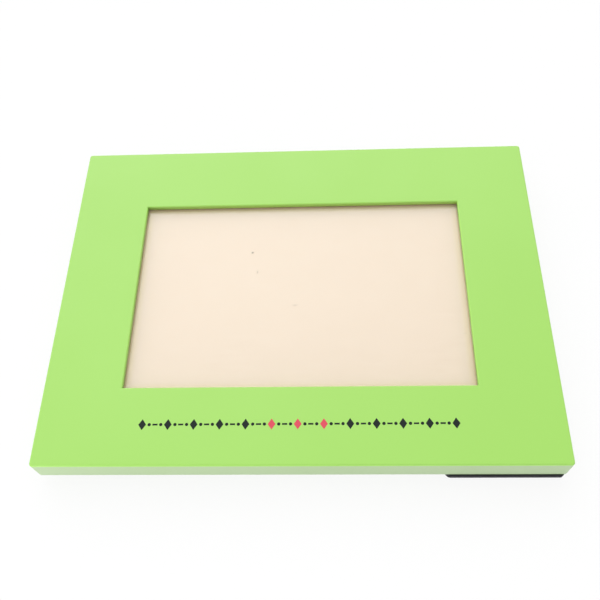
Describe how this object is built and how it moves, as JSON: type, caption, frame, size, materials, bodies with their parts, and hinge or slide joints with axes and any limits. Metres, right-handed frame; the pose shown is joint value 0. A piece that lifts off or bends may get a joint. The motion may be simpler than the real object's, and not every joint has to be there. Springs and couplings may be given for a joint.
{
  "type": "tabletop photo frame",
  "caption": "Rectangular flat-railed tabletop photo frame with a glazed window, a backing held by turn buttons and a hinged diagonal easel leg to stand it upright or on its side.",
  "frame": {"origin": "under the middle of the face, on the surface that the frame lies on with its leg folded", "axes": "+Z the way the face looks, +X along the long rails, +Y towards the top rail"},
  "size_m": [0.2032, 0.1528, 0.0162],
  "materials": {
    "lacquered_fibreboard": "lime green satin lacquer on medium-density fibreboard",
    "lacquered_nail": "steel V nail under the same lacquer",
    "float_glass": "clear float glass",
    "beige_board": "beige uncoated board with sparse dark flecks",
    "grey_board": "grey-brown pressed board",
    "black_flock": "black flocked paper",
    "black_board": "black pressed board with a paler cut edge",
    "nickel_steel": "nickel-plated stamped steel",
    "zinc_steel": "zinc-plated steel"
  },
  "bodies": {
    "frame": {"rail_bottom": "lacquered_fibreboard", "rail_right": "lacquered_fibreboard", "rail_top": "lacquered_fibreboard", "rail_left": "lacquered_fibreboard", "v_nail_bottom_left_outer": "lacquered_nail", "v_nail_bottom_left_inner": "lacquered_nail", "v_nail_bottom_right_outer": "lacquered_nail", "v_nail_bottom_right_inner": "lacquered_nail", "v_nail_top_right_outer": "lacquered_nail", "v_nail_top_right_inner": "lacquered_nail", "v_nail_top_left_outer": "lacquered_nail", "v_nail_top_left_inner": "lacquered_nail", "glass_pane": "float_glass", "filler_pad": "beige_board", "backing_board": "grey_board", "backing_cover": "black_flock", "hinge_base": "nickel_steel", "hinge_pin": "nickel_steel", "base_rivet_left": "nickel_steel", "base_rivet_right": "nickel_steel", "button_screw_bottom": "zinc_steel", "button_screw_right": "zinc_steel", "button_screw_top": "zinc_steel", "button_screw_left": "zinc_steel"},
    "leg": {"easel_leg": "black_board", "leg_cover": "black_flock", "hinge_flap": "nickel_steel", "leg_rivet_left": "nickel_steel", "leg_rivet_right": "nickel_steel"},
    "button_bottom": {"turn_button_bottom": "zinc_steel"},
    "button_right": {"turn_button_right": "zinc_steel"},
    "button_top": {"turn_button_top": "zinc_steel"},
    "button_left": {"turn_button_left": "zinc_steel"}
  },
  "joints": [
    {"name": "easel_leg_hinge", "type": "hinge", "parent": "frame", "child": "leg", "pos_m": [0.01221, 0.01179, 0.0024], "axis": [0.7071, 0.7071, 0], "range_deg": [0, 40]},
    {"name": "turn_button_bottom_pivot", "type": "hinge", "parent": "frame", "child": "button_bottom", "pos_m": [0, -0.05945, 0.0036], "axis": [0, 0, 1], "continuous": true},
    {"name": "turn_button_right_pivot", "type": "hinge", "parent": "frame", "child": "button_right", "pos_m": [0.08485, 0.01, 0.0036], "axis": [0, 0, 1], "continuous": true},
    {"name": "turn_button_top_pivot", "type": "hinge", "parent": "frame", "child": "button_top", "pos_m": [0, 0.05945, 0.0036], "axis": [0, 0, 1], "continuous": true},
    {"name": "turn_button_left_pivot", "type": "hinge", "parent": "frame", "child": "button_left", "pos_m": [-0.08485, 0, 0.0036], "axis": [0, 0, 1], "continuous": true}
  ]
}
